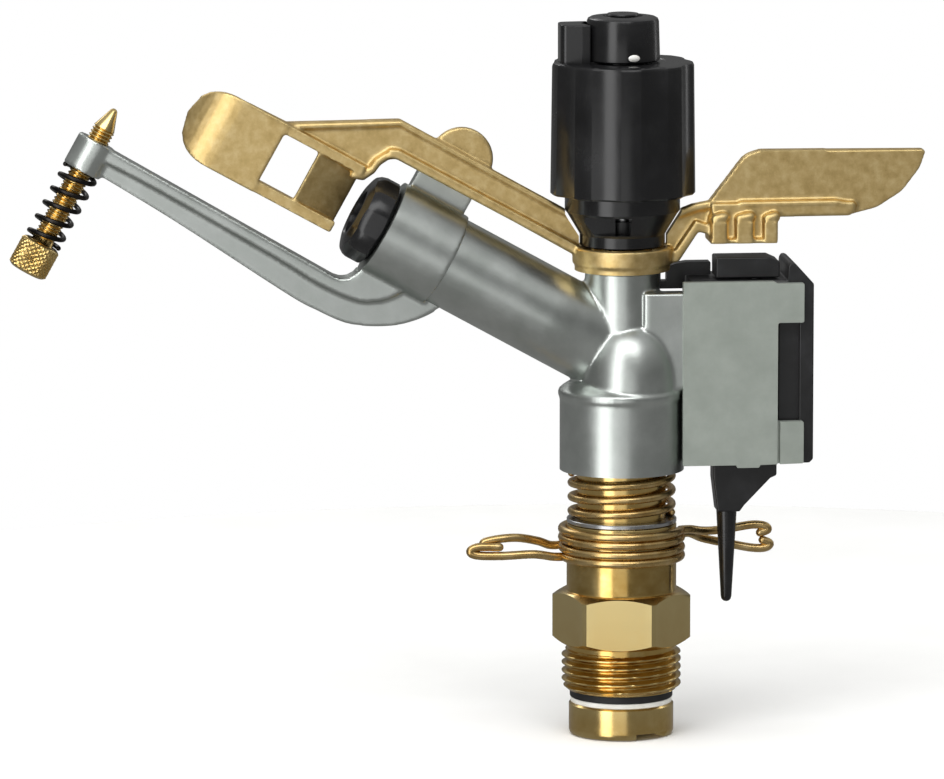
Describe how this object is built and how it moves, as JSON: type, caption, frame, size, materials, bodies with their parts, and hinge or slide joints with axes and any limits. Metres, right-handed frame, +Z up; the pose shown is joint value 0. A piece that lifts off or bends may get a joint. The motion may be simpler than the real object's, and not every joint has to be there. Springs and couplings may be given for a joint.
{
  "type": "impact sprinkler",
  "caption": "Part-circle impact sprinkler: threaded brass inlet, cast body with a raised barrel, sprung brass drive arm, jet breaker and reversing trip.",
  "frame": {"origin": "on the riser axis at the shoulder where the hexagon meets the inlet thread", "axes": "+Z up the riser, -X the way the barrel leans, -Y the side that the drive arm swings to"},
  "size_m": [0.2028, 0.0317, 0.1609],
  "materials": {
    "turned_brass": "machined",
    "cast_brass": "as cast, satin",
    "brass_wire": "drawn",
    "cast_aluminium": "shot blasted",
    "cover_alloy": "satin",
    "black_plastic": "moulded",
    "cap_plastic": "moulded, glossy",
    "thrust_washer": "smooth",
    "rubber": "smooth",
    "steel": "turned",
    "spring_steel": "oiled"
  },
  "bodies": {
    "inlet": {"inlet_nipple": "turned_brass"},
    "head": {"bearing_tube": "turned_brass", "lower_thrust_washer": "thrust_washer", "lower_seal_washer": "rubber", "spring_seat_washer": "steel", "bearing_spring": "brass_wire", "body_casting": "cast_aluminium", "breaker_bracket": "cast_aluminium", "nozzle": "black_plastic", "nozzle_o_ring": "rubber", "flow_straightener": "black_plastic", "arm_washer": "thrust_washer", "pivot_pin": "steel", "arm_spring": "spring_steel", "spring_cap": "cap_plastic", "knob_clip": "steel", "reversing_housing": "black_plastic", "housing_cover": "cover_alloy", "cover_screws": "steel", "mounting_screws": "steel", "toggle_spring": "spring_steel", "toggle_post": "steel"},
    "collar_left": {"trip_collar_left": "brass_wire"},
    "collar_right": {"trip_collar_right": "brass_wire"},
    "hammer": {"hammer_arm": "cast_brass", "arm_bush": "black_plastic"},
    "knob": {"tension_knob": "cap_plastic", "spring_seat": "black_plastic"},
    "trip": {"trip_shaft": "steel", "trip_lever": "black_plastic", "reversing_lever": "black_plastic", "toggle_crank": "steel"},
    "breaker_carriage": {"breaker_spring": "spring_steel"},
    "breaker": {"breaker_screw": "turned_brass"}
  },
  "joints": [
    {"name": "head_rotation", "type": "hinge", "parent": "inlet", "child": "head", "pos_m": [0, 0, 0], "axis": [0, 0, 1], "range_deg": [-160, 0]},
    {"name": "left_collar_turn", "type": "hinge", "parent": "inlet", "child": "collar_left", "pos_m": [0, 0, 0.019], "axis": [0, 0, 1], "range_deg": [-70, 0]},
    {"name": "right_collar_turn", "type": "hinge", "parent": "inlet", "child": "collar_right", "pos_m": [0, 0, 0.023], "axis": [0, 0, 1], "range_deg": [0, 70]},
    {"name": "arm_swing", "type": "hinge", "parent": "head", "child": "hammer", "pos_m": [0, 0, 0.0845], "axis": [0, 0, 1], "range_deg": [0, 70], "stiffness_Nm_per_rad": 0.02, "springref_deg": -34.38, "deforming": ["arm_spring"]},
    {"name": "tension_turn", "type": "hinge", "parent": "head", "child": "knob", "pos_m": [0, 0, 0.13], "axis": [0, 0, 1], "range_deg": [-45, 45]},
    {"name": "trip_swing", "type": "hinge", "parent": "head", "child": "trip", "pos_m": [0.0295, 0, 0.04], "axis": [0, 0, 1], "range_deg": [-18, 18], "deforming": ["toggle_spring"]},
    {"name": "breaker_feed", "type": "slide", "parent": "head", "child": "breaker_carriage", "axis": [0.4848, 0, 0.8746], "range_m": [0, 0.005], "deforming": ["breaker_spring"]},
    {"name": "breaker_turn", "type": "hinge", "parent": "breaker_carriage", "child": "breaker", "pos_m": [-0.10915, 0, 0.1249], "axis": [0.4848, 0, 0.8746], "range_deg": [0, 2250]}
  ],
  "couplings": [
    {"joint": "breaker_turn", "follows": "breaker_feed", "rad_per_m": 7854}
  ]
}
